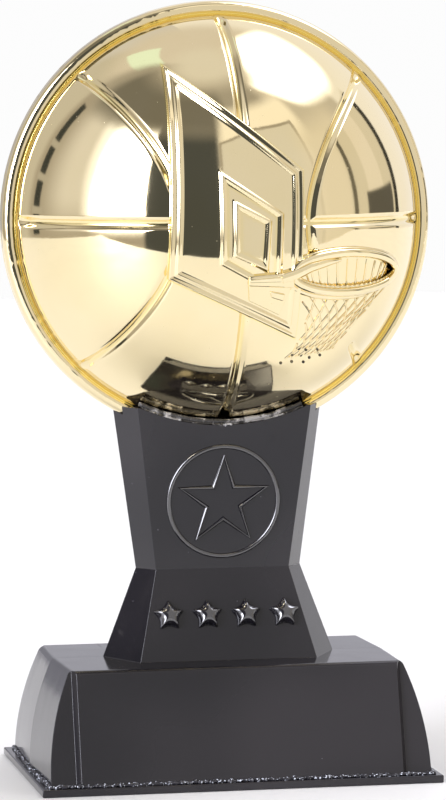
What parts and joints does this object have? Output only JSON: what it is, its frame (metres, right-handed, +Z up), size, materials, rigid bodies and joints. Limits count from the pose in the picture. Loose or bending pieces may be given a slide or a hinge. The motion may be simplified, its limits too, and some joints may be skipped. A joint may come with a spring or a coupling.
{
  "type": "presentation trophy",
  "caption": "Gold ball with a raised backboard, hoop and net, on a black waisted riser with stars and a weighted black base.",
  "frame": {"origin": "middle of the bottom plate's underside, on the surface that the trophy stands on", "axes": "+Z up, -Y to the front face with the star ring, +X to the viewer's right"},
  "size_m": [0.09, 0.0692, 0.16],
  "materials": {
    "gold_metallised": "vacuum-metallised gold on moulded plastic, mirror bright, under a clear lacquer",
    "black_gloss": "gloss, moulded black polystyrene",
    "cast_mineral": "rough cast",
    "clear_adhesive": "set clear adhesive, glossy",
    "black_adhesive": "rough melted edge, glossy"
  },
  "bodies": {
    "root": {"ball_front_shell": "gold_metallised", "ball_rear_shell": "gold_metallised", "body_front_shell": "black_gloss", "body_rear_shell": "black_gloss", "bottom_plate": "black_gloss", "ballast_block": "cast_mineral", "cradle_glue_front": "clear_adhesive", "cradle_glue_rear": "clear_adhesive", "base_glue_bead": "black_adhesive"}
  },
  "joints": []
}
